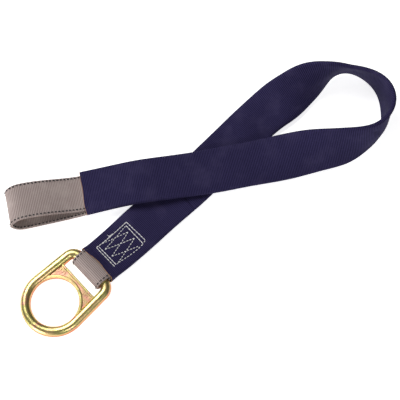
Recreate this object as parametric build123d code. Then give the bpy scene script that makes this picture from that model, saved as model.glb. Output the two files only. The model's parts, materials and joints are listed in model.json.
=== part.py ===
"""Web anchor strap: a D-ring at one end, a sewn eye at the other, and a loose woven sleeve between.

The strap lies on a surface at z = 0.  Its sleeve crosses over itself once and stands on edge in
the bight.  Lengths are in millimetres.
"""
from build123d import *
import os
import numpy as np

# ---------------------------------------------------------------- driving dimensions
webbing_width = 44.45
ply_thickness = 1.4
ply_gap = 0.1  # between the two plies of the load strap
sleeve_width = 56.0
sleeve_wall = 0.9
sleeve_slack = 0.45  # between the load strap and the sleeve

ring_hole_radius = 28.575
ring_rod_radius = 6.2
ring_land = 5.0  # length of the hole's cylindrical wall, and thickness of the web
ring_rim = 4.0  # width of the raised rim round the hole
rim_thickness = 7.4
hole_to_bar = 57.2
hole_to_slot = 37.3
lip_width = 3.0  # raised lip along the slot
lip_thickness = 6.4
panel_size = (5.2, 11.0, 0.5)  # two sunk panels on the web
panel_centre = (26.1, 21.0)  # from the bar, and from the ring's middle
ring_corner_radius = 10.5  # on the rod's centreline
ring_taper = 3.3  # degrees that each leg leans in towards the bar
ring_pitch = 4.7  # degrees that the ring slopes down from its bar

eye_length = 90.0  # from the fold of the web eye to the mouth of the sleeve
splice_length = 62.0
splice_ramp = 22.0
loop_bend = 164.0  # from the fold of the web eye
mouth_to_bar = 7.5
ring_bend_to_bar = 79.0
bend_gap = 0.3

thread_width = 0.9
thread_height = 0.35
thread_gap = 0.06  # between a thread and the face it lies on
stitch_pitch = 7.0
edge_inset = 2.4
box_to_bar = 21.0
box_length = 49.0
box_half_width = 16.0
box_row_spacing = 3.0

# Stations down the middle of the strap, from the fold of the web eye to the middle of the ring's
# bar: x, y, z and the roll in degrees, where 0 is flat and 90 stands on the right-hand edge.
stations = [
    (-228.0, -12.8, 4.8, 0),
    (-184.0, -3.5, 4.8, 0),
    (-139.0, 6.0, 6.0, 0),
    (-82.0, 16.6, 13.8, 0),
    (-7.0, 29.6, 10.4, 1),
    (44.0, 39.6, 9.4, 5),
    (92.0, 49.0, 11.0, 15),
    (139.0, 56.0, 19.5, 40),
    (186.0, 62.5, 27.5, 68),
    (213.5, 76.5, 29.0, 87),
    (226.5, 97.0, 29.3, 96),
    (227.0, 118.0, 29.3, 96),
    (217.5, 139.5, 28.8, 86),
    (200.0, 154.5, 28.4, 72),
    (179.0, 160.0, 28.4, 68),
    (157.0, 155.0, 28.2, 88),
    (133.0, 144.5, 24.0, 120),
    (111.5, 132.0, 17.0, 145),
    (87.0, 117.0, 6.3, 172),
    (58.0, 91.0, 3.0, 180),
    (8.0, 38.6, 3.0, 180),
    (-42.0, -9.2, 3.0, 180),
    (-71.0, -37.6, 4.7, 180),
    (-100.0, -66.6, 8.6, 180),
    (-126.0, -91.0, 14.0, 180),
]

# The web eye's profile: distance from the fold, height off the strap's middle, and sideways shift.
eye_profile = [
    (90.0, 1.75, 0.0),
    (72.0, 5.4, 0.0),
    (45.0, 13.2, 0.0),
    (22.0, 17.6, -0.5),
    (7.0, 16.6, -2.0),
    (0.6, 8.6, -4.0),
    (6.5, -0.8, -5.5),
    (22.0, -2.8, -6.0),
    (50.0, -2.8, -5.5),
    (75.0, -2.4, -5.0),
    (90.0, -1.75, -4.5),
]

strap_half = ply_thickness + ply_gap / 2
leg_offset = strap_half + 0.1
sleeve_half = strap_half + sleeve_slack + sleeve_wall
splice_half = leg_offset + sleeve_half


# ---------------------------------------------------------------- curves
def natural_spline(knots, values, at):
    """Cubic spline with no curvature at its ends, through rows of values at the knots."""
    step = np.diff(knots)
    rise = np.diff(values, axis=0) / step[:, None]
    system = np.eye(len(knots))
    target = np.zeros_like(values)
    for i in range(1, len(knots) - 1):
        system[i, i - 1 : i + 2] = step[i - 1], 2 * (step[i - 1] + step[i]), step[i]
        target[i] = 6 * (rise[i] - rise[i - 1])
    bend = np.linalg.solve(system, target)
    i = np.clip(np.searchsorted(knots, at) - 1, 0, len(step) - 1)
    h, t = step[i][:, None], (at - knots[i])[:, None]
    slope = rise[i] - h * (2 * bend[i] + bend[i + 1]) / 6
    return values[i] + t * (slope + t * (bend[i] / 2 + t * (bend[i + 1] - bend[i]) / (6 * h)))


def through(points, count):
    """That many points on the spline through the points, by their distance apart."""
    points = np.array(points, float)
    apart = np.linalg.norm(np.diff(points[:, :3], axis=0), axis=1)
    knots = np.concatenate([[0], np.cumsum(apart)])
    return natural_spline(knots, points, np.linspace(0, knots[-1], count))


def unit(vectors):
    return vectors / np.linalg.norm(vectors, axis=-1, keepdims=True)


line = through(stations, 4001)
middle = line[:, :3]
along = np.concatenate([[0], np.cumsum(np.linalg.norm(np.diff(middle, axis=0), axis=1))])
length = along[-1]
heading = unit(np.gradient(middle, along, axis=0))
level = unit(np.cross([0, 0, 1], heading))
roll = np.radians(line[:, 3])[:, None]
across = unit(np.cos(roll) * level + np.sin(roll) * np.cross(heading, level))
facing = np.cross(heading, across)


def sample(field, at):
    return np.array([np.interp(at, along, field[:, k]) for k in range(3)])


def place(at, height=0.0, side=0.0):
    """The point at a distance along the strap, a height off its face and a distance to its left."""
    end = np.clip(at, 0, length)
    past = (at - end) * sample(heading, end)
    return sample(middle, end) + past + height * sample(facing, end) + side * sample(across, end)


# ---------------------------------------------------------------- solids
def cap(ring):
    """The end of a solid: flat, or between two opposite edges where the ring has four corners."""
    corners = [Vector(*p) for p in ring]
    if len(ring) == 4:
        first, second = Edge.make_line(*corners[:2]), Edge.make_line(corners[3], corners[2])
        return Face.make_surface_from_curves(first, second)
    return Face(Wire.make_polygon(corners, close=True))


def ruled(rings):
    """A closed solid through rings of corners, with straight faces between them."""
    faces = [cap(rings[0]), cap(rings[-1])]
    for here, there in zip(rings, rings[1:]):
        for k in range(len(here)):
            first = Edge.make_line(Vector(*here[k - 1]), Vector(*here[k]))
            second = Edge.make_line(Vector(*there[k - 1]), Vector(*there[k]))
            faces.append(Face.make_surface_from_curves(first, second))
    return Solid(Shell(faces)).fix()


def strip(path, offset, half_width, half_height, part=slice(None)):
    """A flat strip on part of a path of (along, height, side), set off along the path's normal."""
    path = np.array(path, float)
    tangent = np.gradient(path[:, :2], axis=0)
    tangent[[0, -1], 1] = 0  # both ends are cut square
    tangent = unit(tangent)
    rings = []
    for (at, height, side), (run, rise) in zip(path, tangent):
        ring = []
        for lift, wide in ((1, 1), (1, -1), (-1, -1), (-1, 1)):
            out = offset + lift * half_height
            ring.append(place(at - rise * out, height + run * out, side + wide * half_width))
        rings.append(ring)
    return ruled(rings[part])


def tube_rings(stops, half_heights, half_widths):
    """Six-cornered rings of a flattened tube: two flat faces and a pointed edge on each side."""
    rings = []
    for at, high, wide in zip(stops, half_heights, half_widths):
        flat = wide - 1.5
        corners = ((high, flat), (high, -flat), (0, -wide), (-high, -flat), (-high, flat), (0, wide))
        rings.append([place(at, h, w) for h, w in corners])
    return rings


def thread(start, stop, up):
    """A straight run of thread from point to point, lying on a face whose outward side is up."""
    side = thread_width / 2 * unit(np.cross(up, stop - start))
    top = thread_height * up
    rings = [[p + side, p - side, p - side + top, p + side + top] for p in (start, stop)]
    return ruled(rings)


def thread_runs(corners, height):
    """Stitches between the corners (along, side) of an open line, on the strap at that height."""
    runs = []
    for start, stop in zip(corners, corners[1:]):
        count = int(np.ceil(np.hypot(stop[0] - start[0], stop[1] - start[1]) / stitch_pitch))
        for k in range(count):
            a, u = start + (np.array(stop) - start) * (k + 0.06) / count
            b, v = start + (np.array(stop) - start) * (k + 0.94) / count
            up = np.sign(height) * unit(sample(facing, (a + b) / 2))
            runs.append(thread(place(a, height, u), place(b, height, v), up))
    return runs


# ---------------------------------------------------------------- the strap's profile
loop_mouth = eye_length
ring_mouth = length - mouth_to_bar
ring_bend = length - ring_bend_to_bar
body_span = {
    "loop_end": (loop_mouth, loop_bend - bend_gap / 2),
    "strap": (loop_bend + bend_gap / 2, ring_bend - bend_gap / 2),
    "ring_end": (ring_bend + bend_gap / 2, ring_mouth),
}

# The strap's two legs leave the bar, come together behind it and run on to the end of the splice.
bar_clearance = 0.35
wrap_radius = ring_rod_radius + bar_clearance + strap_half
wrap_slack = 1.8
throat = [(0.0, wrap_radius), (6.0, 7.0), (11.0, 4.0), (16.0, leg_offset)]


def ring_leg(side):
    """One leg from the end of the splice to the wrap round the bar: side is 1 or -1."""
    legs = [(at, side * leg_offset, 0) for at in np.linspace(ring_mouth - splice_length, length - 23, 7)]
    return legs + [(length - back, side * high, 0) for back, high in throat[::-1]]


def wrap():
    """Half a turn round the bar, from one leg to the other."""
    turn = np.radians(np.arange(75, -76, -15))
    return [(length + wrap_slack + wrap_radius * np.cos(a), -wrap_radius * np.sin(a), 0) for a in turn]


def loop_leg(side):
    """One leg from the mouth of the sleeve to the end of the splice: side is 1 or -1."""
    shift = eye_profile[0 if side > 0 else -1][2]
    reach = np.linspace(loop_mouth, loop_mouth + splice_length, 9)[1:]
    return [(at, side * leg_offset, np.interp(at, [loop_mouth, reach[-1]], [shift, 0])) for at in reach]


def stops(low, high):
    """Places for rings, closer together where the strap twists and turns."""
    ends = [*np.arange(8, 190, 8), *np.arange(length - 104, length, 8)]
    middle_stops = [*np.arange(200, 340, 20), *np.arange(340, 620, 9), *np.arange(620, length - 110, 20)]
    usual = sorted([*ends, *middle_stops, loop_bend + splice_ramp, ring_bend - splice_ramp])
    return np.array([low, *[s for s in usual if low + 3 < s < high - 3], high])


def splice_lift(at):
    """How far the single strap is off the sleeve's middle as it comes out of each splice."""
    places = [loop_bend, loop_bend + splice_ramp, ring_bend - splice_ramp, ring_bend]
    return np.interp(at, places, [-leg_offset, 0, 0, -leg_offset])


eye = through(eye_profile, 33).tolist()
loop_path = [(loop_bend - bend_gap / 2, -leg_offset, 0)] + loop_leg(-1)[::-1] + eye[::-1] + loop_leg(1)
main_stops = stops(*body_span["strap"])
main_path = [(s, splice_lift(s), 0) for s in main_stops]
ring_path = [(ring_bend + bend_gap / 2, -leg_offset, 0)] + ring_leg(-1) + wrap() + ring_leg(1)[::-1]

ply_half = ply_thickness / 2
ply_offset = ply_half + ply_gap / 2
paths = {"loop_end": loop_path, "strap": main_path, "ring_end": ring_path}
shapes = {}
for body, path in paths.items():
    # The loop end is walked from the sleeve towards the fold, against the strap's own direction.
    outer = 1 if body == "loop_end" else -1
    shapes[f"outer_ply_{body}"] = strip(path, outer * ply_offset, webbing_width / 2, ply_half)
    shapes[f"inner_ply_{body}"] = strip(path, -outer * ply_offset, webbing_width / 2, ply_half)

# ---------------------------------------------------------------- the sleeve
half_sleeve = sleeve_width / 2
sleeve_profile = [
    (loop_mouth, splice_half + 0.2, half_sleeve),
    (loop_bend, splice_half, half_sleeve),
    (loop_bend + splice_ramp, sleeve_half, half_sleeve),
    (ring_bend - splice_ramp, sleeve_half, half_sleeve),
    (ring_bend, splice_half, half_sleeve),
    (length - 34.0, splice_half, half_sleeve - 0.6),
    (length - 20.2, splice_half, half_sleeve - 1.1),
    (length - 16.0, splice_half + 0.5, half_sleeve - 1.3),
    (length - 11.0, 4.6 + sleeve_half, half_sleeve - 1.5),
    (ring_mouth, 6.8 + sleeve_half, half_sleeve - 1.5),
]
profile = np.array(sleeve_profile)
for body, (low, high) in body_span.items():
    breaks = [s for s in profile[:, 0] if low + 2 < s < high - 2]
    at = np.array(sorted({*stops(low, high), *breaks}))
    tall, wide = (np.interp(at, profile[:, 0], profile[:, k]) for k in (1, 2))
    bore = at.copy()
    bore[0], bore[-1] = low - 0.5, high + 0.5
    outer = ruled(tube_rings(at, tall, wide))
    inner = ruled(tube_rings(bore, tall - sleeve_wall, wide - sleeve_wall))
    shapes[f"sleeve_{body}"] = outer - inner

# ---------------------------------------------------------------- stitching
box_low = length - box_to_bar - box_length
box_high = length - box_to_bar
box_wide = box_half_width
box_frame = [
    [(box_low, -box_wide), (box_high, -box_wide), (box_high, box_wide), (box_low, box_wide)],
    [(box_low, box_wide), (box_low, -box_wide)],
    [(box_low + box_row_spacing, 2 - box_wide), (box_low + box_row_spacing, box_wide - 2)],
    [(box_high - box_row_spacing, 2 - box_wide), (box_high - box_row_spacing, box_wide - 2)],
]
zigzags = [
    [(1.0, 0.03), (0.1, 0.25), (0.9, 0.63), (0.1, 0.97)],
    [(0.13, 0.03), (0.9, 0.28), (0.1, 0.66), (0.9, 0.97)],
]


def in_box(share):
    """A place in the stitched box from its shares along and across, counted from the ring."""
    along_share, across_share = share
    return (box_high - 3.6 - along_share * (box_length - 7.2), (1 - 2 * across_share) * (box_wide - 1.2))


def compound(solids):
    return Compound(children=solids)


for face, height in (("top", -splice_half - thread_gap), ("bottom", splice_half + thread_gap)):
    rows = [run for corners in box_frame for run in thread_runs(corners, height)]
    shapes[f"box_stitch_{face}"] = compound(rows)
    slants = [run for line in zigzags for run in thread_runs([in_box(p) for p in line], height)]
    shapes[f"cross_stitch_{face}"] = compound(slants)
tack = [(box_high - box_length * a, box_wide + 1.6) for a in (0.4, 0.56)]
shapes["back_tack"] = compound(thread_runs(tack, -splice_half - thread_gap))

splice_low, splice_high = loop_mouth + 12, loop_mouth + splice_length - 6
splice_zigzag = [
    (splice_low + (splice_high - splice_low) * (k % 2), -14 + 28 * k / 4) for k in range(5)
]
splice_height = leg_offset + strap_half + thread_gap
shapes["loop_splice_stitch"] = compound(thread_runs(splice_zigzag, splice_height))

edge_offset = strap_half + thread_height / 2 + thread_gap
edge_side = webbing_width / 2 - edge_inset
seams = {
    "loop": (loop_path, 1, slice(len(loop_leg(-1)), len(loop_leg(-1)) + len(eye) + 1)),
    "ring": (ring_path, -1, slice(len(ring_leg(-1)) - 2, len(ring_leg(-1)) + len(wrap()) + 3)),
}
for name, (path, outer, part) in seams.items():
    for hand, side in (("left", 1), ("right", -1)):
        edge = [(at, high, shift + side * edge_side) for at, high, shift in path]
        seam = strip(edge, outer * edge_offset, thread_width / 2, thread_height / 2, part)
        shapes[f"edge_stitch_{name}_{hand}"] = seam

# ---------------------------------------------------------------- the D-ring
def build_ring():
    """Flat on the XY plane with its bar along Y at the origin and its hole along +X."""
    rod_line = ring_hole_radius + np.sqrt(ring_rod_radius**2 - (ring_land / 2) ** 2)
    r = ring_corner_radius
    taper = np.radians(ring_taper)
    halfway = np.pi / 4 - taper / 2
    leg_end = (hole_to_bar - rod_line * np.sin(taper), rod_line * np.cos(taper))
    leg_run = leg_end[0] - r + r * np.sin(taper)
    half_bar = leg_end[1] - leg_run * np.tan(taper) - r * np.cos(taper)
    corner_end = (r - r * np.sin(taper), half_bar + r * np.cos(taper))
    corner_middle = (r - r * np.cos(halfway), half_bar + r * np.sin(halfway))

    def other(point):
        return (point[0], -point[1])

    path = Wire(
        [
            Line((0, -half_bar), (0, half_bar)),
            ThreePointArc((0, half_bar), corner_middle, corner_end),
            Line(corner_end, leg_end),
            ThreePointArc(leg_end, (hole_to_bar + rod_line, 0), other(leg_end)),
            Line(other(leg_end), other(corner_end)),
            ThreePointArc(other(corner_end), other(corner_middle), (0, -half_bar)),
        ]
    )
    rod = sweep(Plane.XZ * Circle(ring_rod_radius), path=path)
    slot_edge = hole_to_bar - hole_to_slot
    web = Pos((slot_edge + hole_to_bar) / 2, 0, 0) * Box(hole_to_slot, 2 * rod_line, ring_land)
    lip = fillet(Box(lip_width, 2 * rod_line, lip_thickness).edges().filter_by(Axis.Y), 0.9)
    rim = Cylinder(ring_hole_radius + ring_rim, rim_thickness)
    rim = fillet(rim.edges(), 1.2)
    at_hole = Pos(hole_to_bar, 0, 0)
    body = rod + web + Pos(slot_edge + lip_width / 2, 0, 0) * lip + at_hole * rim
    flare = Cone(ring_hole_radius, ring_hole_radius + 1.5, 3)
    body -= at_hole * Cylinder(ring_hole_radius, 40)
    body -= at_hole * Pos(0, 0, ring_land / 2 + 1.5) * flare
    body -= at_hole * Pos(0, 0, -ring_land / 2 - 1.5) * Rot(180, 0, 0) * flare
    for hand in (-1, 1):
        centre = Pos(panel_centre[0], hand * panel_centre[1], ring_land / 2)
        width, reach, depth = panel_size
        body -= centre * Box(width, reach, 2 * depth)
        for k in (-1, 0, 1):
            body += centre * Pos(0, 3.4 * k, -depth / 2) * Box(width - 2, 1.2, depth)
    return body


ring = build_ring()
shapes["d_ring"] = ring
bar = place(length)
toward = sample(heading, length)
toward_level = unit(np.array([toward[0], toward[1], 0.0]))
pitch = np.radians(ring_pitch)
ring_x = np.cos(pitch) * toward_level - np.sin(pitch) * np.array([0, 0, 1.0])
ring_y = np.cross([0, 0, 1.0], toward_level)
ring_z = np.cross(ring_x, ring_y)
seat = Plane(origin=Vector(*bar), x_dir=Vector(*ring_x), z_dir=Vector(*ring_z))
shapes["d_ring"] = seat.location * ring

os.makedirs("parts", exist_ok=True)
for name, shape in shapes.items():
    shape.label = name
    export_step(shape, f"parts/{name}.step")
    print(name, round(shape.volume, 1), "mm3")
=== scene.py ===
# %% [markdown]
# # A web anchor strap
# The real object is a flat strap of doubled grey webbing.  A forged steel ring hangs in one end,
# the other end is a sewn eye, and a navy woven tube protects everything between them.
# This lesson makes the cloth, the threads and the finishes.  The ring's shape, the places of all
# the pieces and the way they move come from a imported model, which is loaded first and never moved.

# %% Load the frame
import json
import bpy
import numpy as np
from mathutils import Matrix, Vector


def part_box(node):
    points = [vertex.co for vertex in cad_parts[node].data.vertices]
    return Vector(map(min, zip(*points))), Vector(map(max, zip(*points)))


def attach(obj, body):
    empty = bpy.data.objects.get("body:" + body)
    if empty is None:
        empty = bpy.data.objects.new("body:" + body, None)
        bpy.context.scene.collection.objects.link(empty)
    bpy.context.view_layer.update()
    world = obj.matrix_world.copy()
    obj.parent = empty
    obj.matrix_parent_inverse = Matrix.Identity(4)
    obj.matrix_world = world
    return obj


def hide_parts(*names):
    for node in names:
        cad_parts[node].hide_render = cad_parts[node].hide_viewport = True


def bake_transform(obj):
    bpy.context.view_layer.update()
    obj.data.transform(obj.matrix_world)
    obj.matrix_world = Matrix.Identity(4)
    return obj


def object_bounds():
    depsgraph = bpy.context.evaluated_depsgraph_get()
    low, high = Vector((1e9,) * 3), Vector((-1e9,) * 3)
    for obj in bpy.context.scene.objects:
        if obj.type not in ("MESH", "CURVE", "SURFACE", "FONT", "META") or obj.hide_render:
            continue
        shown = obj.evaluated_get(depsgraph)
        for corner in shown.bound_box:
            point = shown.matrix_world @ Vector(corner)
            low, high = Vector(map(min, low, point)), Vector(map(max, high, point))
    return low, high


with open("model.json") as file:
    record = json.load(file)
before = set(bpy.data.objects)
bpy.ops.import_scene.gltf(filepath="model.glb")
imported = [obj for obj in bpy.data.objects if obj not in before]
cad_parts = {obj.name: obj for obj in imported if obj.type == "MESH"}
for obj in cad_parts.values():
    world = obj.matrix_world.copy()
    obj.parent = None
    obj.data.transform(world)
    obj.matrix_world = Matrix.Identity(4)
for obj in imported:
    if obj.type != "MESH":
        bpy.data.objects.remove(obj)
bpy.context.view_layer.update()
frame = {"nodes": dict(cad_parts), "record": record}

# %% [markdown]
# ## The line of the strap
# A strap that lies in a twist is hard to sculpt and easy to describe.  Its middle line is a smooth
# curve through a few listed places, and at each place the strap has a roll: 0 degrees lies
# flat, 90 stands on edge, 180 lies on its other face.  Everything on the strap is then placed by
# three numbers: how far along it is, how high off the strap's face, and how far to the left.
# All of these are in millimetres, and become metres only when a mesh is made.

# %% The places that the strap runs through: x, y, z, roll
stations = [
    (-228.0, -12.8, 4.8, 0),
    (-184.0, -3.5, 4.8, 0),
    (-139.0, 6.0, 6.0, 0),
    (-82.0, 16.6, 13.8, 0),
    (-7.0, 29.6, 10.4, 1),
    (44.0, 39.6, 9.4, 5),
    (92.0, 49.0, 11.0, 15),
    (139.0, 56.0, 19.5, 40),
    (186.0, 62.5, 27.5, 68),
    (213.5, 76.5, 29.0, 87),
    (226.5, 97.0, 29.3, 96),
    (227.0, 118.0, 29.3, 96),
    (217.5, 139.5, 28.8, 86),
    (200.0, 154.5, 28.4, 72),
    (179.0, 160.0, 28.4, 68),
    (157.0, 155.0, 28.2, 88),
    (133.0, 144.5, 24.0, 120),
    (111.5, 132.0, 17.0, 145),
    (87.0, 117.0, 6.3, 172),
    (58.0, 91.0, 3.0, 180),
    (8.0, 38.6, 3.0, 180),
    (-42.0, -9.2, 3.0, 180),
    (-71.0, -37.6, 4.7, 180),
    (-100.0, -66.6, 8.6, 180),
    (-126.0, -91.0, 14.0, 180),
]
print("the strap runs through", len(stations), "places")


# %% Curves through points
def natural_spline(knots, values, at):
    """Cubics between the knots that share slope and bend where they meet, and end without bend.

    The bends at the knots solve one linear system; each cubic is then read off its two ends.
    """
    step = np.diff(knots)
    rise = np.diff(values, axis=0) / step[:, None]
    inner = np.arange(1, len(knots) - 1)
    system, target = np.eye(len(knots)), np.zeros_like(values)
    system[inner, inner - 1], system[inner, inner + 1] = step[:-1], step[1:]
    system[inner, inner] = 2 * (step[:-1] + step[1:])
    target[inner] = 6 * np.diff(rise, axis=0)
    bend = np.linalg.solve(system, target)
    i = np.clip(np.searchsorted(knots, at) - 1, 0, len(step) - 1)
    h, t = step[i][:, None], (at - knots[i])[:, None]
    slope = rise[i] - h * (2 * bend[i] + bend[i + 1]) / 6
    return values[i] + t * (slope + t * (bend[i] / 2 + t * (bend[i + 1] - bend[i]) / (6 * h)))


def through(points, spacing):
    """Points on the spline through the given points, about that spacing apart."""
    points = np.array(points, float)
    apart = np.linalg.norm(np.diff(points[:, :3], axis=0), axis=1)
    knots = np.concatenate([[0], np.cumsum(apart)])
    count = int(round(knots[-1] / spacing)) + 1
    return natural_spline(knots, points, np.linspace(0, knots[-1], count))


def unit(vectors):
    return vectors / np.linalg.norm(vectors, axis=-1, keepdims=True)


line = through(stations, 0.25)
middle = line[:, :3]
along = np.concatenate([[0], np.cumsum(np.linalg.norm(np.diff(middle, axis=0), axis=1))])
length = along[-1]
heading = unit(np.gradient(middle, along, axis=0))
level = unit(np.cross([0, 0, 1], heading))
roll = np.radians(line[:, 3])[:, None]
leftward = unit(np.cos(roll) * level + np.sin(roll) * np.cross(heading, level))
facing = np.cross(heading, leftward)
print("strap from the fold of its eye to the middle of the ring's bar, mm:", round(length, 1))


# %% Places on the strap
def sample(field, at):
    """The field's three numbers at each distance along the strap, between its nearest samples."""
    return np.stack([np.interp(at, along, field[:, k]) for k in range(3)], -1)


def place(at, height, side):
    """The middle line's point, plus height times the face's direction, plus side times leftward.

    Past either end of the line the strap goes straight on in its last heading.
    """
    at, height, side = np.broadcast_arrays(*(np.asarray(v, float) for v in (at, height, side)))
    end = np.clip(at, 0, length)
    past = (at - end)[..., None] * sample(heading, end)
    up, left = sample(facing, end), sample(leftward, end)
    return sample(middle, end) + past + height[..., None] * up + side[..., None] * left


# %% [markdown]
# ## The strap's measures
# Two plies of webbing, 44.45 mm wide, run from the eye to the ring.  At each end they fold back and
# are sewn down on themselves, so the sleeve holds four plies there and two in the middle.  The
# numbers below say where the folds, mouths and bends are, and how far each layer is off the middle.

# %% Widths, thicknesses and the distances of the strap's landmarks
WEB_WIDTH = 44.45
PLY = 1.4
PLY_GAP = 0.1
STRAP_HALF = PLY + PLY_GAP / 2
LEG_GAP = 0.2
LEG = STRAP_HALF + LEG_GAP / 2
SLEEVE_WIDTH = 56.0
WALL = 0.9
SLACK = 0.45
SLEEVE_HALF = STRAP_HALF + SLACK + WALL
SPLICE_HALF = LEG + SLEEVE_HALF
RIB = 2.0

LOOP_MOUTH = 90.0
SPLICE = 62.0
RAMP = 22.0
LOOP_BEND = 164.0
RING_MOUTH = length - 7.5
RING_BEND = length - 79.0
CROSSING = 832.0
BAR_RADIUS = 6.2
BAR_GAP = 0.35
WRAP = BAR_RADIUS + BAR_GAP + STRAP_HALF
thin, thick = round(2 * SLEEVE_HALF, 1), round(2 * SPLICE_HALF, 1)
print("sleeve thickness, mm:", thin, "and over the splices", thick)


# %% [markdown]
# ## From a grid to a mesh
# Every cloth piece here is a surface of two parameters, worked out as one array of rows and
# columns.  One helper turns such a grid into a mesh of four-sided faces, closes it where it goes
# round, and stores two lengths for each corner: how far along the web it is and how far across.
# The weave of each material reads those lengths, so that it follows the cloth through each fold.

# %% Faces to a mesh
def new_piece(name, points, faces, web=None):
    """A mesh of points in mm and of faces, given as one array for each number of corners.

    web is two lengths in mm for each corner of the first array's faces.
    """
    corners = np.concatenate([f.ravel() for f in faces]).astype(np.int32)
    sizes = np.concatenate([np.full(len(f), f.shape[1]) for f in faces])
    starts = np.concatenate([[0], np.cumsum(sizes)[:-1]]).astype(np.int32)
    mesh = bpy.data.meshes.new(name)
    mesh.vertices.add(len(points))
    mesh.vertices.foreach_set("co", (points * 0.001).astype(np.float32).ravel())
    mesh.loops.add(len(corners))
    mesh.loops.foreach_set("vertex_index", corners)
    mesh.polygons.add(len(starts))
    mesh.polygons.foreach_set("loop_start", starts)
    if web is not None:
        lengths = np.zeros((len(corners), 2), np.float32)
        lengths[: len(web)] = web * 0.001
        mesh.uv_layers.new(name="web").data.foreach_set("uv", lengths.ravel())
    mesh.update(calc_edges=True)
    mesh.shade_smooth()
    piece = bpy.data.objects.new("cloth_" + name if name in frame["nodes"] else name, mesh)
    bpy.context.collection.objects.link(piece)
    print(piece.name, "has", len(starts), "faces")
    return piece


# %% A grid's faces
def grid_faces(rows, columns, loop_rows):
    """Rows and columns of each face's four corners; the columns always close into a ring."""
    last = rows if loop_rows else rows - 1
    row, column = np.meshgrid(np.arange(last), np.arange(columns), indexing="ij")
    here = np.stack([row, row, row + 1, row + 1], -1).reshape(-1, 4)
    there = np.stack([column, column + 1, column + 1, column], -1).reshape(-1, 4)
    return here, there


def cloth(name, grid, web, loop_rows):
    """A closed surface: its rows close into a ring too, or end in two flat faces.

    grid is rows by columns by 3.  web has a corner more than the grid where the grid closes.
    """
    rows, columns = grid.shape[:2]
    here, there = grid_faces(rows, columns, loop_rows)
    faces = [(here % rows) * columns + there % columns]
    if not loop_rows:
        ends = np.stack([np.arange(columns)[::-1], np.arange(columns) + (rows - 1) * columns])
        faces.append(ends)
    return new_piece(name, grid.reshape(-1, 3), faces, web[here, there].reshape(-1, 2))


# %% [markdown]
# ## Ribbed webbing
# The webbing's weft makes ribs across its width, about 2 mm apart.  They are deep enough to catch
# light at the folds, so they are real geometry: each row of the grid is lifted by a rounded wave.
# The finer yarns between the ribs are left to the material.

# %% The rounded wave of the ribs
def rib(at, depth):
    """A wave along the strap with broad crests and narrow valleys: the root of a half sine."""
    return depth * np.sqrt(np.abs(np.sin(np.pi * at / RIB)))


# %% The outline of a flat web, as columns round its section
def section(flat_count, fold_count):
    """Round a flat web once: its top from left to right, a half turn, its bottom, a half turn.

    Each column is how far it is over the flat part, from -1 to 1, and the two parts of its fold.
    """
    flat = np.linspace(1, -1, flat_count, endpoint=False)
    turn = np.linspace(0.5 * np.pi, 1.5 * np.pi, fold_count, endpoint=False)
    over = np.concatenate([flat, np.full(fold_count, -1.0), -flat, np.full(fold_count, 1.0)])
    top, bottom = (np.full(flat_count, half_turns * np.pi) for half_turns in (0.5, 1.5))
    angle = np.concatenate([top, turn, bottom, turn + np.pi])
    return over, np.cos(angle), np.sin(angle)


def run_round(flat, fold, flat_count, fold_count):
    """The length round the section to each column, and once more to close the ring."""
    stops = np.cumsum([0, flat, fold, flat, fold])
    counts = (flat_count, fold_count, flat_count, fold_count)
    runs = [np.linspace(a, b, n, endpoint=False) for a, b, n in zip(stops, stops[1:], counts)]
    return np.append(np.concatenate(runs), stops[-1])[None, :]


# %% [markdown]
# ## The navy sleeve
# The sleeve is a woven tube that lies flat, so its section is two faces joined by a tight fold on
# each side.  It is looser than the strap inside, so the faces swell a little and aren't quite even.
# Where the strap stands on edge in the bight, the tube also curls across its width.
# It is a wall with an outside and an inside, closed over the lips of both mouths.  A piece can bend
# across only one joint, so the tube is cut in two where the strap passes under itself.

# %% [markdown]
# The white box stitch goes through the sleeve and all four plies, so its lines are set out before
# the sleeve is made: the tight thread pulls the cloth down into a shallow groove along each line.
# The box is set out in shares of its size, counted from the ring and from the strap's left.

# %% The lines of the box stitch
BOX_NEAR = length - 21.0
BOX_LONG = 49.0
BOX_WIDE = 32.0
GROOVE_DEPTH = 0.45
GROOVE_WIDTH = 1.2
rows = [
    [(0, 0), (0, 1)],
    [(0.06, 0.03), (0.06, 0.98)],
    [(1, 0), (1, 0.5), (1, 1), (0.94, 1.03)],
    [(0.93, 0.09), (0.9, 1.05)],
    [(0, 0), (0.5, 0.012), (1, 0)],
]
runs = [[(0.9, 1.05), (0.72, 1.064), (0.46, 1.036), (0.21, 0.99), (0.07, 0.97)]]
zigzags = [
    [(0.17, 0.01), (0.86, 0.33), (0.12, 0.63), (0.78, 1.0)],
    [(0.93, 0.09), (0.12, 0.26), (0.86, 0.67), (0.12, 0.97)],
]
print("the box stitch has", len(rows + runs + zigzags), "lines")


def in_box(line):
    """From shares of the box to distances along the strap and to its left."""
    share = np.array(line, float)
    return np.stack([BOX_NEAR - BOX_LONG * share[:, 0], BOX_WIDE * (0.5 - share[:, 1])], -1)


def pull(at, side):
    """A groove along each line of the box: a bell curve of the distance to the nearest line."""
    at, side = np.broadcast_arrays(at, side)
    nearest = np.full(at.shape, 50.0)
    for line in rows + runs + zigzags:
        corners = in_box(line)
        for start, stop in zip(corners, corners[1:]):
            run = stop - start
            walked = (at - start[0]) * run[0] + (side - start[1]) * run[1]
            share = np.clip(walked / (run @ run), 0, 1)
            gap = np.hypot(at - start[0] - share * run[0], side - start[1] - share * run[1])
            nearest = np.minimum(nearest, gap)
    return GROOVE_DEPTH * np.exp(-((nearest / GROOVE_WIDTH) ** 2))


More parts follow.
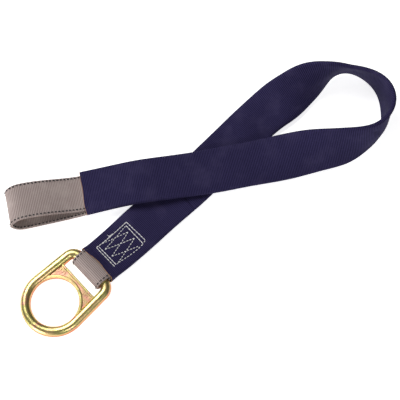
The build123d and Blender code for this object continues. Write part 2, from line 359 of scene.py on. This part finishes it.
# %% How the sleeve swells, curls and flares
def sleeve_half_height(at):
    """Half the tube's thickness: thick over the splices, thin between, and open at the ring."""
    places = [LOOP_MOUTH, LOOP_BEND, LOOP_BEND + RAMP, RING_BEND - RAMP, RING_BEND]
    halves = [SPLICE_HALF - 0.2, SPLICE_HALF, SLEEVE_HALF, SLEEVE_HALF, SPLICE_HALF]
    places += [length - 20.2, length - 16, length - 11, RING_MOUTH]
    halves += [SPLICE_HALF, SPLICE_HALF + 0.5, SLEEVE_HALF + 4.6, SLEEVE_HALF + 6.6]
    return np.interp(at, places, halves)


def sleeve_half_width(at):
    """Half the tube's width, a little uneven, and drawn in towards the ring."""
    places = [LOOP_MOUTH, RING_BEND, length - 34, length - 16, RING_MOUTH]
    halves = SLEEVE_WIDTH / 2 - np.array([0, 0, 0.6, 1.3, 1.5])
    return np.interp(at, places, halves) - 0.35 + 0.2 * np.sin(at / 31) + 0.12 * np.sin(at / 13 + 1)


def curl(at, side):
    """How far the cloth leaves its flat line: the bight's upper edge rolls over its outer face.

    The rolled part grows with the square of the distance from the strap's middle.
    """
    top_edge = np.interp(at, [440, 500, 560, 600, 650, 720], [0, 0.3, 1.4, 1.7, 1.5, 0])
    low_edge = np.interp(at, [300, 370, 440, 520, 600], [0, 1.2, 2.2, 1.0, 0])
    over = side / (SLEEVE_WIDTH / 2)
    return top_edge * np.clip(over + 0.15, 0, 2) ** 2 - low_edge * np.clip(-over, 0, 2) ** 2


def ripple(at, side):
    """Slow waves of loose cloth that cross the strap at slants, deepest where the strap twists."""
    places = [200, 330, 420, 560, 640, 760, 860]
    depth = np.interp(at, places, [0.14, 0.35, 0.7, 0.6, 0.95, 0.6, 0.14])
    waves = np.sin(at / 17 + side / 9) + np.sin(at / 29 - side / 14 + 2)
    waves = waves + 0.6 * np.sin(at / 9.5 + side / 23 + 4)
    pinch = np.exp(-(((at - 455) + 0.5 * side) / 4.0) ** 2) * np.exp(-((side - 9) / 8) ** 2)
    return depth * waves - 1.3 * pinch


# %% The cut mouths, and the height of each face
FOLD = 2.4


def mouth_wave(side, at):
    """Each mouth is cut by hand, so it wanders along the strap; the shift dies out inside."""
    waver = 0.5 * np.sin(side / 11) + 0.3 * np.sin(side / 5 + 1)
    at_loop = np.exp(-(at - LOOP_MOUTH) / 9) * waver
    dip = 1.8 * np.exp(-((side + 3) / 11) ** 2) - 1.2 * np.exp(-((side - 17) / 8) ** 2)
    at_ring = np.exp((at - RING_MOUTH) / 7) * (dip + 0.4 * np.sin(side / 6))
    return at_loop - at_ring


def face_height(at, side, face):
    """The height of the tube's upper (1) or lower (-1) face, without its ribs.

    It is highest along the middle, and the curl and the ripples move both faces together.
    """
    over = np.clip(side / (sleeve_half_width(at) - FOLD), -1, 1)
    swell = 1.04 - 0.14 * over**2
    half = sleeve_half_height(at) * swell - pull(at, side)
    return face * half + curl(at, side) + ripple(at, side)


# %% Make one length of sleeve
FOLD_COLUMNS = 8
SLEEVE_RIB = 0.24


def sleeve(name, low, high, flat_count):
    """Rows out along the tube's outside, over a lip, back inside it and over the other lip."""
    outer = np.arange(low + 0.6, high - 0.55, 0.5)
    lip = np.linspace(0, 1, 5)
    inner = np.linspace(high - 0.6, low + 0.6, max(12, int((high - low) / 6)))
    bulge = 0.45 * np.sin(np.pi * lip)
    at = np.concatenate([outer, high - 0.55 + bulge, inner, low + 0.55 - bulge])[:, None]
    depth = (np.concatenate([0 * outer, lip, 0 * inner + 1, lip[::-1]]) * WALL)[:, None]
    outside = np.concatenate([0 * outer + 1, 0 * lip, 0 * inner, 0 * lip])[:, None]
    over, turn, lift = section(flat_count, FOLD_COLUMNS)
    side = over * (sleeve_half_width(at) - FOLD) + turn * (FOLD - depth)
    flat_height = face_height(at, side, np.sign(lift))
    folded = curl(at, side) + ripple(at, side)
    height = folded + (flat_height - folded) * np.abs(lift)
    ribs = outside * rib(at + 0.3 * over**2, SLEEVE_RIB) - SLEEVE_RIB / 2
    height = height + lift * (ribs - depth)
    grid = place(at + mouth_wave(side, at), height, side)
    run = run_round(SLEEVE_WIDTH, 7, flat_count, FOLD_COLUMNS)
    web = np.stack(np.broadcast_arrays(np.vstack([at, at[:1]]), run), -1)
    piece = cloth(name, grid, web, loop_rows=True)
    from_mouth = np.minimum(np.abs(at - LOOP_MOUTH), np.abs(RING_MOUTH - at)) * np.ones_like(side)
    mark = piece.data.attributes.new("cut", "FLOAT", "POINT")
    mark.data.foreach_set("value", np.exp(-from_mouth / 0.55).astype(np.float32).ravel())
    return piece


sleeve_loop_side = sleeve("sleeve_loop_side", LOOP_MOUTH, CROSSING - 0.05, 20)
sleeve_ring_side = sleeve("sleeve_ring_side", CROSSING + 0.05, RING_MOUTH, 54)


# %% [markdown]
# ## The grey load strap
# The doubled webbing leaves the sleeve's mouth, folds round in an open eye and goes back in.  At
# the other end it wraps the ring's bar.  Each ply is the same flat section carried along a path in
# the strap's side view: its points are a distance along, a height and a sideways shift.  The outer
# ply runs outside the inner one, so the section is set off from the path along the path's normal.

# %% The two folds, seen from the side
def splice_lift(at):
    """The single strap steps aside to become one leg of each splice."""
    places = [LOOP_BEND, LOOP_BEND + RAMP, RING_BEND - RAMP, RING_BEND]
    return np.interp(at, places, [-LEG, 0, 0, -LEG])


eye_profile = [
    (90.0, 1.75, 0.0),
    (72.0, 5.4, 0.0),
    (45.0, 13.2, 0.0),
    (22.0, 17.6, -0.5),
    (7.0, 16.6, -2.0),
    (0.6, 8.6, -4.0),
    (6.5, -0.8, -5.5),
    (22.0, -2.8, -6.0),
    (50.0, -2.8, -5.5),
    (75.0, -2.4, -5.0),
    (90.0, -1.75, -4.5),
]
tail = [(at, LEG, 0) for at in (152.0, 130.0, 110.0)]
under_leg = [(110.0, -LEG, -3.0), (130.0, -LEG, -1.4), (152.0, -LEG, 0)]
eye_path = tail + eye_profile + under_leg

throat = [(16.0, LEG), (11.0, 4.0), (6.0, 7.0), (0.0, WRAP)]
turn = np.radians(np.arange(75, -76, -15))
wrap = [(length + 1.8 + WRAP * np.cos(a), -WRAP * np.sin(a), 0) for a in turn]
upper = [(RING_MOUTH - SPLICE, -LEG, 0), (length - 42, -LEG, 0), (length - 23, -LEG, 0)]
upper += [(length - back, -high, 0) for back, high in throat]
bar_path = upper + wrap + [(at, -high, shift) for at, high, shift in upper[::-1]]


# %% A path in the strap's side view
def side_view(points):
    """The path's points with its slope and the length walked along it, for reading in between."""
    points = np.array(points, float)
    slope = unit(np.gradient(points[:, :2], axis=0))
    walk = np.concatenate([[0], np.cumsum(np.hypot(*np.diff(points[:, :2], axis=0).T))])
    return np.column_stack([walk, points, slope])


def set_off(view, walk, out, side):
    """The place a length along a path, out along the path's normal and sideways.

    The plies lie loose in the sleeve, so they curl and ripple with it.
    """
    at, high, shift, ahead, rise = (np.interp(walk, view[:, 0], view[:, k]) for k in range(1, 6))
    loose = curl(at, side) + ripple(at, side)
    return place(at - rise * out, high + ahead * out + loose, shift + side)


loop_run = np.arange(157.0, CROSSING, 5)
ring_run = np.arange(CROSSING + 0.5, RING_BEND, 5)
eye_view = side_view([*through(eye_path, 0.5), *zip(loop_run, splice_lift(loop_run), 0 * loop_run)])
bar_view = side_view([*zip(ring_run, splice_lift(ring_run), 0 * ring_run), *through(bar_path, 0.5)])
print("places along the two paths:", len(eye_view), "and", len(bar_view))


# %% Carry a ply along its path
PLY_RIB = 0.13
PLY_SINK = 0.08
PLY_COLUMNS = (14, 4)


def ply(name, view, offset):
    """A flat section with rounded edges, ribbed on both faces, set off from the path's normal."""
    walk = view[:, :1]
    over, edge_out, edge_up = section(*PLY_COLUMNS)
    half = PLY / 2
    side = over * (WEB_WIDTH / 2 - half) + edge_out * half
    grid = set_off(view, walk, offset + edge_up * (half + rib(walk, PLY_RIB) - PLY_SINK), side)
    web = np.stack(np.broadcast_arrays(walk, run_round(WEB_WIDTH, 2.2, *PLY_COLUMNS)), -1)
    return cloth(name, grid, web, loop_rows=False)


apart = PLY / 2 + PLY_GAP / 2
outer_loop = ply("outer_ply_loop_side", eye_view, -apart)
inner_loop = ply("inner_ply_loop_side", eye_view, apart)
outer_ring = ply("outer_ply_ring_side", bar_view, -apart)
inner_ring = ply("inner_ply_ring_side", bar_view, apart)
strap_flat = (eye_view[-1, 0] + bar_view[-1, 0]) / 1000
print("each ply is", round(strap_flat, 3), "m long")

# %% [markdown]
# ## Stitches
# A seam is a row of separate stitches.  Each one comes up through the cloth, lies on it under
# tension and goes down again, so it is a short arch of thread with its ends under the surface.
# One arch is worked out as a small grid, and numpy repeats it for a whole seam at once.

# %% An arch of thread, many times over
ARCH_ROWS = 7
ARCH_SIDES = 6
DIVE = 0.35


def stitches(name, starts, stops, ups, radius):
    """Arches from starts to stops: a half sine lifts each, and its thread narrows at the ends."""
    share = np.linspace(0, 1, ARCH_ROWS)[None, :, None, None]
    angle = (np.arange(ARCH_SIDES) * 2 * np.pi / ARCH_SIDES)[None, None, :, None]
    radius = radius[:, None, None, None]
    run = (stops - starts)[:, None, None, :]
    up = ups[:, None, None, :]
    aside = unit(np.cross(up, run))
    arch = np.sin(np.pi * share)
    thick = radius * (0.45 + 0.55 * np.sqrt(arch))
    lift = radius * 0.75 * arch**0.5 - DIVE * (1 - arch**0.5)
    centre = starts[:, None, None, :] + share * run + lift * up
    grid = centre + thick * (np.cos(angle) * aside + np.sin(angle) * up)
    count = len(starts)
    here, there = grid_faces(ARCH_ROWS, ARCH_SIDES, False)
    quads = here * ARCH_SIDES + there % ARCH_SIDES
    circle = np.arange(ARCH_SIDES)
    ends = np.stack([circle[::-1], circle + ARCH_SIDES * (ARCH_ROWS - 1)])
    step = ARCH_ROWS * ARCH_SIDES * np.arange(count)[:, None, None]
    faces = [(quads + step).reshape(-1, 4), (ends + step).reshape(-1, ARCH_SIDES)]
    web = np.stack([here * 0.5, there * 0.4], -1)
    return new_piece(name, grid.reshape(-1, 3), faces, np.tile(web.reshape(-1, 2), (count, 1)))


def march(corners, pitch, fill):
    """The starts and stops of the stitches along an open line of corners, each run on its own."""
    starts, stops = [], []
    for first, last in zip(corners, corners[1:]):
        count = max(1, int(round(np.linalg.norm(last - first) / pitch)))
        share = (np.arange(count)[:, None] + 0.5) / count
        half = fill / 2 / count
        starts.append(first + (share - half) * (last - first))
        stops.append(first + (share + half) * (last - first))
    return np.concatenate(starts), np.concatenate(stops)


# %% [markdown]
# Black thread runs along both edges of the doubled webbing, about 2 mm in.  It shows on the
# outside of each fold and on the inside of the eye.

# %% Black edge seams
EDGE_PITCH = 4.4
EDGE_STITCH = 2.8
EDGE_THREAD = 0.75


def edge_seam(name, view, low, high, side):
    """Stitches along a path at one side, on the doubled web's outer face and its inner face."""
    walk = np.arange(low, high, EDGE_PITCH)
    halfway = walk + 1.45
    starts, stops, ups = [], [], []
    for face in (-1, 1):
        surface = face * (STRAP_HALF + 0.12)
        starts.append(set_off(view, walk, surface, side))
        stops.append(set_off(view, walk + EDGE_STITCH, surface, side))
        foot = set_off(view, halfway, surface, side)
        ups.append(unit(set_off(view, halfway, surface + face, side) - foot))
    radii = np.full(2 * len(walk), EDGE_THREAD)
    return stitches(name, *(np.concatenate(v) for v in (starts, stops, ups)), radii)


EDGE = WEB_WIDTH / 2 - 2.2
in_eye = eye_view[eye_view[:, 1] < LOOP_MOUTH + 4, 0]
round_bar = bar_view[bar_view[:, 1] > length - 14, 0]
seams = []
for hand, side in (("left", EDGE), ("right", -EDGE)):
    seams.append(edge_seam(f"edge_stitch_loop_{hand}", eye_view, in_eye[0], in_eye[-1], side))
    seams.append(edge_seam(f"edge_stitch_ring_{hand}", bar_view, round_bar[0], round_bar[-1], side))


# %% White box and cross stitches
def on_sleeve(line, face):
    """A line's corners become points on one face of the sleeve."""
    at, side = line.T
    return place(at, face_height(at, side, face) + face * 0.05, side)


def laid(lines, face, pitch, fill, radius):
    """Where each thread of some lines starts and stops on a face, its up and its radius."""
    parts = [march(in_box(line), pitch, fill) for line in lines]
    starts, stops = (np.concatenate([part[k] for part in parts]) for k in (0, 1))
    ups = face * sample(facing, (starts[:, 0] + stops[:, 0]) / 2)
    return on_sleeve(starts, face), on_sleeve(stops, face), ups, np.full(len(starts), radius)


def white_seam(name, *groups):
    """One mesh of several groups of threads."""
    return stitches(name, *(np.concatenate(part) for part in zip(*groups)))


white = []
for word, face in (("top", -1), ("bottom", 1)):
    box_seam = laid(rows, face, 4.4, 1.06, 0.55), laid(runs, face, 4.0, 0.72, 0.5)
    white.append(white_seam(f"box_stitch_{word}", *box_seam))
    white.append(white_seam(f"cross_stitch_{word}", laid(zigzags, face, 3.8, 0.8, 0.48)))

# %% The back-tack, where the box seam was closed, and the cut tail of its thread
tack_lines = [[(0.56, 0.004), (0.41, -0.02)], [(0.54, -0.012), (0.42, 0.012)]]
tail_line = [[(0.45, 0.0), (0.424, -0.127)]]
tack, cut_tail = laid(tack_lines, -1, 4.0, 1.1, 0.65), laid(tail_line, -1, 5.0, 1.0, 0.3)
back_tack = white_seam("back_tack", tack, cut_tail)

# %% The eye's own seam, hidden inside the sleeve
hidden = np.array([(LOOP_MOUTH + 12 + 38 * (k % 2), -14 + 28 * k / 4) for k in range(5)])
starts, stops = march(hidden, 4.2, 0.7)
ups = sample(facing, starts[:, 0])
top = LEG + STRAP_HALF
begin, finish = (place(ends[:, 0], top, ends[:, 1]) for ends in (starts, stops))
hidden_seam = stitches("loop_splice_stitch", begin, finish, ups, np.full(len(ups), 0.3))

# %% [markdown]
# ## Finishes
# Each finish is a small tree of nodes.  A class with short calls keeps the trees readable: it makes
# the nodes, wires them, and leaves every constant on the shader's own sockets.

# %% A helper for node trees
class Finish:
    """A material with one shader, and short calls for the nodes that these finishes use."""

    def __init__(self, name, **constants):
        self.material = bpy.data.materials.new(name)
        self.material.use_nodes = True
        self.tree = self.material.node_tree
        self.shader = self.tree.nodes["Principled BSDF"]
        for socket, value in constants.items():
            self.shader.inputs[socket.replace("_", " ")].default_value = value

    def node(self, kind, **settings):
        made = self.tree.nodes.new("ShaderNode" + kind)
        for key, value in settings.items():
            setattr(made, key, value)
        return made

    def feed(self, node, **inputs):
        for socket, value in inputs.items():
            self.put(value, node.inputs[socket.replace("_", " ")])
        return node

    def put(self, value, socket):
        if isinstance(value, bpy.types.NodeSocket):
            self.tree.links.new(value, socket)
        else:
            socket.default_value = value

    def math(self, how, *values):
        made = self.node("Math", operation=how)
        for value, socket in zip(values, made.inputs):
            self.put(value, socket)
        return made.outputs[0]

    def mix(self, amount, first, second):
        made = self.node("Mix", data_type="RGBA")
        self.put(amount, made.inputs["Factor"])
        for value, socket in ((first, made.inputs[6]), (second, made.inputs[7])):
            self.put((*value, 1) if isinstance(value, tuple) else value, socket)
        return made.outputs[2]

    def ramp(self, value, low, high):
        made = self.node("MapRange", interpolation_type="SMOOTHSTEP")
        self.feed(made, Value=value, From_Min=low, From_Max=high)
        return made.outputs[0]

    def noise(self, vector, scale, detail=3.0, roughness=0.5):
        made = self.node("TexNoise")
        self.feed(made, Vector=vector, Scale=scale, Detail=detail, Roughness=roughness)
        return made.outputs[0]

    def wave(self, run, period):
        """Half sines along a run in metres, one for each period in millimetres."""
        turns = self.math("MULTIPLY", run, 1000 * np.pi / period)
        return self.math("ABSOLUTE", self.math("SINE", turns))

    def object_place(self):
        return self.node("TexCoord").outputs["Object"]

    def web(self):
        """How far along and across the web this point is, in metres."""
        split = self.node("SeparateXYZ")
        self.tree.links.new(self.node("UVMap", uv_map="web").outputs[0], split.inputs[0])
        return split.outputs[0], split.outputs[1]

    def bump(self, height, distance, strength=1.0):
        made = self.feed(self.node("Bump"), Height=height, Distance=distance, Strength=strength)
        self.tree.links.new(made.outputs[0], self.shader.inputs["Normal"])

    def paint(self, **inputs):
        self.feed(self.shader, **inputs)
        return self.material


# %% [markdown]
# ### Woven webbing
# Between the ribs the warp yarns show as fine lines along the strap, nearly a millimetre apart.
# The valleys between ribs are painted darker, as painted shade.  A broad, weak noise
# varies the dye, a fine one roughens the yarn, and a little sheen stands for the loose fibres.

# %% Webbing in any colour
YARN = 0.9


def webbing(name, crest, valley_shade, worn, edge, sheen):
    """Painted shade in the valleys and the plain colour on the crests, from the length along the
    web, and fine yarns across it.
    """
    finish = Finish(name, Roughness=0.8, Sheen_Weight=sheen, Specular_IOR_Level=0.06)
    finish.shader.inputs["Sheen Tint"].default_value = (*worn, 1)
    ahead, across = finish.web()
    wave, yarn = finish.wave(ahead, RIB), finish.wave(across, YARN)
    spot = finish.object_place()
    dye = finish.noise(spot, 45.0, 3.0)
    fibre = finish.noise(spot, 1500.0, 2.0)
    # painted shade: between the ribs the colour darkens to the valley colour
    colour = finish.mix(finish.ramp(wave, 0.15, 0.85), valley_shade, crest)
    colour = finish.mix(finish.math("MULTIPLY", finish.ramp(dye, 0.45, 0.75), 0.5), colour, worn)
    thin = finish.math("MULTIPLY", finish.ramp(fibre, 0.5, 0.72), 0.35)
    colour = finish.mix(thin, colour, worn)
    if edge:
        mark = finish.node("Attribute", attribute_name="cut").outputs["Fac"]
        colour = finish.mix(finish.ramp(mark, 0.3, 0.7), colour, edge)
    lines, fuzz = finish.math("MULTIPLY", yarn, 0.5), finish.math("MULTIPLY", fibre, 0.7)
    finish.bump(finish.math("ADD", lines, fuzz), 0.00012, 0.8)
    return finish.paint(Base_Color=colour)


tan = (0.62, 0.33, 0.13)
# each webbing has a crest colour, a valley colour that is painted shade, and a mottled colour
navy_colours = (0.035, 0.029, 0.09), (0.006, 0.005, 0.02), (0.05, 0.042, 0.103)
taupe_colours = (0.45, 0.365, 0.345), (0.19, 0.15, 0.142), (0.52, 0.44, 0.41)
navy = webbing("navy_webbing", *navy_colours, tan, 0.04)
taupe = webbing("taupe_webbing", *taupe_colours, None, 0.05)
print("woven finishes:", navy.name, taupe.name)


# %% Thread
def thread(name, colour, shade):
    """Two plies twisted together: slanting dark lines along the thread, with a soft bump."""
    finish = Finish(name, Roughness=0.55, Sheen_Weight=0.2, Specular_IOR_Level=0.4)
    ahead, across = finish.web()
    steep, shallow = finish.math("MULTIPLY", ahead, 4200), finish.math("MULTIPLY", across, 2600)
    slant = finish.math("ADD", steep, shallow)
    twist = finish.math("ABSOLUTE", finish.math("SINE", slant))
    finish.bump(twist, 0.00008)
    return finish.paint(Base_Color=finish.mix(finish.ramp(twist, 0.0, 0.5), shade, colour))


white_thread = thread("white_thread", (0.95, 0.94, 0.93), (0.72, 0.71, 0.74))
black_thread = thread("black_thread", (0.018, 0.016, 0.018), (0.005, 0.005, 0.005))
print("thread finishes:", white_thread.name, black_thread.name)

# %% [markdown]
# ### Yellow zinc plating
# The forged ring is plated with zinc and dipped in a yellow chromate, which leaves a thin film of
# changing thickness.  It is golden green where it faces up on the round bar and salmon on the flat
# web, with cloudy patches of pink.  The dull red down the sides is a painted reflection: the red
# that the film shows at a slant, put on every face that turns sideways.  The colour follows places
# and faces on the ring itself, so it stays put from every side.

# %% The ring's own directions
ring_low, ring_high = (np.array(v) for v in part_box("d_ring"))
swing = next(j for j in frame["record"]["behaviour"]["joints"] if j["name"] == "ring_swing")
hole = next(m for m in frame["record"]["mounts"] if m["name"] == "ring_hole")
ring_up = np.array(hole["axis"])
ring_origin = np.array(swing["pos_m"])
ring_ahead = unit(np.array(hole["pos_m"]) - ring_origin)
ring_left = np.cross(ring_up, ring_ahead)
print("ring box, mm:", np.round(1000 * (ring_high - ring_low)).tolist())


# %% Plated steel
def plating():
    """Film colours from the face's direction, its height on the ring and two noises; the red on
    sideways faces is a painted reflection.
    """
    finish = Finish("yellow_zinc", Metallic=1.0)
    spot = finish.object_place()

    def towards(vector, direction, origin=(0, 0, 0)):
        off = finish.node("VectorMath", operation="SUBTRACT")
        finish.put(vector, off.inputs[0])
        off.inputs[1].default_value = origin
        dot = finish.node("VectorMath", operation="DOT_PRODUCT")
        finish.put(off.outputs[0], dot.inputs[0])
        dot.inputs[1].default_value = tuple(direction)
        return dot.outputs["Value"]

    normal = finish.node("TexCoord").outputs["Normal"]
    facing_up = finish.math("ABSOLUTE", towards(normal, ring_up))
    high = finish.math("ABSOLUTE", towards(spot, ring_up, tuple(ring_origin)))
    aside = finish.math("ABSOLUTE", towards(spot, ring_left, tuple(ring_origin)))
    cloud = finish.noise(spot, 55.0, 4.0, 0.6)
    patch = finish.noise(spot, 130.0, 2.0)
    grain = finish.noise(spot, 900.0, 3.0)
    gold = finish.mix(finish.ramp(cloud, 0.42, 0.62), (0.66, 0.6, 0.22), (0.74, 0.55, 0.25))
    pink = finish.math("MULTIPLY", finish.ramp(patch, 0.56, 0.7), 0.8)
    gold = finish.mix(pink, gold, (0.76, 0.36, 0.28))
    # painted reflection: faces that turn sideways get the red that the film shows at a slant
    red = finish.mix(finish.ramp(cloud, 0.35, 0.65), (0.62, 0.12, 0.07), (0.6, 0.24, 0.1))
    colour = finish.mix(finish.ramp(facing_up, 0.2, 0.7), red, gold)
    low = finish.math("SUBTRACT", 1.0, finish.ramp(high, 0.0027, 0.0031))
    inside = finish.math("SUBTRACT", 1.0, finish.ramp(aside, 0.0285, 0.0295))
    flat = finish.ramp(facing_up, 0.5, 0.9)
    web = finish.math("MULTIPLY", finish.math("MULTIPLY", low, inside), flat)
    salmon = finish.mix(finish.ramp(patch, 0.4, 0.65), (0.74, 0.38, 0.27), (0.64, 0.47, 0.22))
    colour = finish.mix(web, colour, salmon)
    rough = finish.math("ADD", 0.24, finish.math("MULTIPLY", cloud, 0.22))
    broad, fine = finish.math("MULTIPLY", patch, 3.0), finish.math("MULTIPLY", grain, 0.35)
    finish.bump(finish.math("ADD", broad, fine), 0.0001)
    return finish.paint(Base_Color=colour, Roughness=rough)


yellow_zinc = plating()
print("ring finish:", yellow_zinc.name)

# %% [markdown]
# ## What each piece stands for and moves with
# Each cloth piece takes the place of one or two plain solids of the model.  The threads ride on one
# end of the strap.  The sleeve and the plies run across a bend, and are not attached to either end.

# %% Plate the ring
ring = frame["nodes"]["d_ring"]
if not ring.data.materials:
    ring.data.materials.append(yellow_zinc)
for ring_slot in ring.material_slots:
    ring_slot.material = yellow_zinc
print("the ring has", len(ring.material_slots), "material slot")


for piece, nodes in (
    (sleeve_loop_side, ["sleeve_loop_end", "sleeve_strap"]),
    (outer_loop, ["outer_ply_loop_end", "outer_ply_strap"]),
    (inner_loop, ["inner_ply_loop_end", "inner_ply_strap"]),
):
    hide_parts(*nodes)
    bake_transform(piece)
for piece, node in (
    (sleeve_ring_side, "sleeve_ring_end"),
    (outer_ring, "outer_ply_ring_end"),
    (inner_ring, "inner_ply_ring_end"),
):
    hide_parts(node)
    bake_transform(piece)

# %% Put the finishes on the cloth and the threads
for pieces, finish, slot in (
    ((sleeve_loop_side, sleeve_ring_side), navy, "navy_web"),
    ((outer_loop, inner_loop, outer_ring, inner_ring), taupe, "grey_web"),
    (seams, black_thread, "black_thread"),
    ((*white, back_tack, hidden_seam), white_thread, "white_thread"),
):
    for piece in pieces:
        piece.data.materials.append(finish)
    print(slot, "is on", len(pieces), "pieces")

# %% The threads ride on their end of the strap
for piece in (*seams, *white, back_tack, hidden_seam):
    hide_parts(piece.name.removeprefix("cloth_"))
    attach(piece, "loop_end" if "loop" in piece.name else "ring_end")
print(len(seams) + len(white) + 2, "pieces of thread ride on the strap's ends")

# %% [markdown]
# ## A pale floor, soft light and a camera
# The floor lies just under the lowest point of the cloth, so nothing sinks into it.
# A white floor and a bright, even sky give a flat light with weak shadows.  One broad lamp from the
# upper left models the folds, a narrow one puts the bright line on the ring, and a low one in front
# lights the inside of the eye.

# %% Floor
FLOOR_HALF = 3000.0
FLOOR_GAP = 0.1
rim = FLOOR_HALF * np.array([(-1, -1, 0), (1, -1, 0), (1, 1, 0), (-1, 1, 0)], float)
under = 1000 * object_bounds()[0][2] - FLOOR_GAP
floor = new_piece("floor", rim + (0, 0, under), [np.array([[0, 1, 2, 3]])])
print("the floor is at z, mm:", round(under, 2))
pale = Finish("pale_floor", Roughness=0.9, Base_Color=(0.9, 0.9, 0.9, 1), Specular_IOR_Level=0.1)
pale.shader.inputs["Emission Color"].default_value = (1, 1, 1, 1)
pale.shader.inputs["Emission Strength"].default_value = 0.8
floor.data.materials.append(pale.material)

# %% Lamps and sky
sky = bpy.data.worlds.new("sky")
sky.use_nodes = True
tree = sky.node_tree
height = tree.nodes.new("ShaderNodeSeparateXYZ")
fade = tree.nodes.new("ShaderNodeMapRange")
fade.inputs["From Min"].default_value, fade.inputs["From Max"].default_value = 0.0, 0.75
fade.inputs["To Min"].default_value, fade.inputs["To Max"].default_value = 0.55, 2.0
tree.links.new(tree.nodes.new("ShaderNodeTexCoord").outputs["Generated"], height.inputs[0])
tree.links.new(height.outputs["Z"], fade.inputs["Value"])
tree.links.new(fade.outputs[0], tree.nodes["Background"].inputs["Strength"])
bpy.context.scene.world = sky


def lamp(name, spot, size, power):
    """A square lamp at a place in metres, aimed at the object's middle."""
    light = bpy.data.lights.new(name, "AREA")
    light.size, light.energy = size, power
    made = bpy.data.objects.new(name, light)
    bpy.context.collection.objects.link(made)
    made.location = spot
    aim = -made.location
    made.rotation_euler = aim.to_track_quat("-Z", "Y").to_euler()
    print(name, "lamp,", power, "W")


lamp("window", (-1.1, 0.9, 1.7), 1.2, 36)
lamp("strip", (0.5, -1.6, 1.5), 0.5, 10)
lamp("fill", (-1.0, -1.0, 0.25), 0.5, 7)

# %% Camera
ELEVATION = np.radians(70)
DISTANCE = 1.5
eye = bpy.data.cameras.new("camera")
eye.lens = 112.5
eye.sensor_width = 36
camera = bpy.data.objects.new("camera", eye)
bpy.context.collection.objects.link(camera)
camera.location = (0, -DISTANCE * np.cos(ELEVATION), DISTANCE * np.sin(ELEVATION))
camera.rotation_euler = (np.pi / 2 - ELEVATION, 0, 0)
bpy.context.scene.camera = camera
bpy.context.scene.view_settings.view_transform = "Standard"
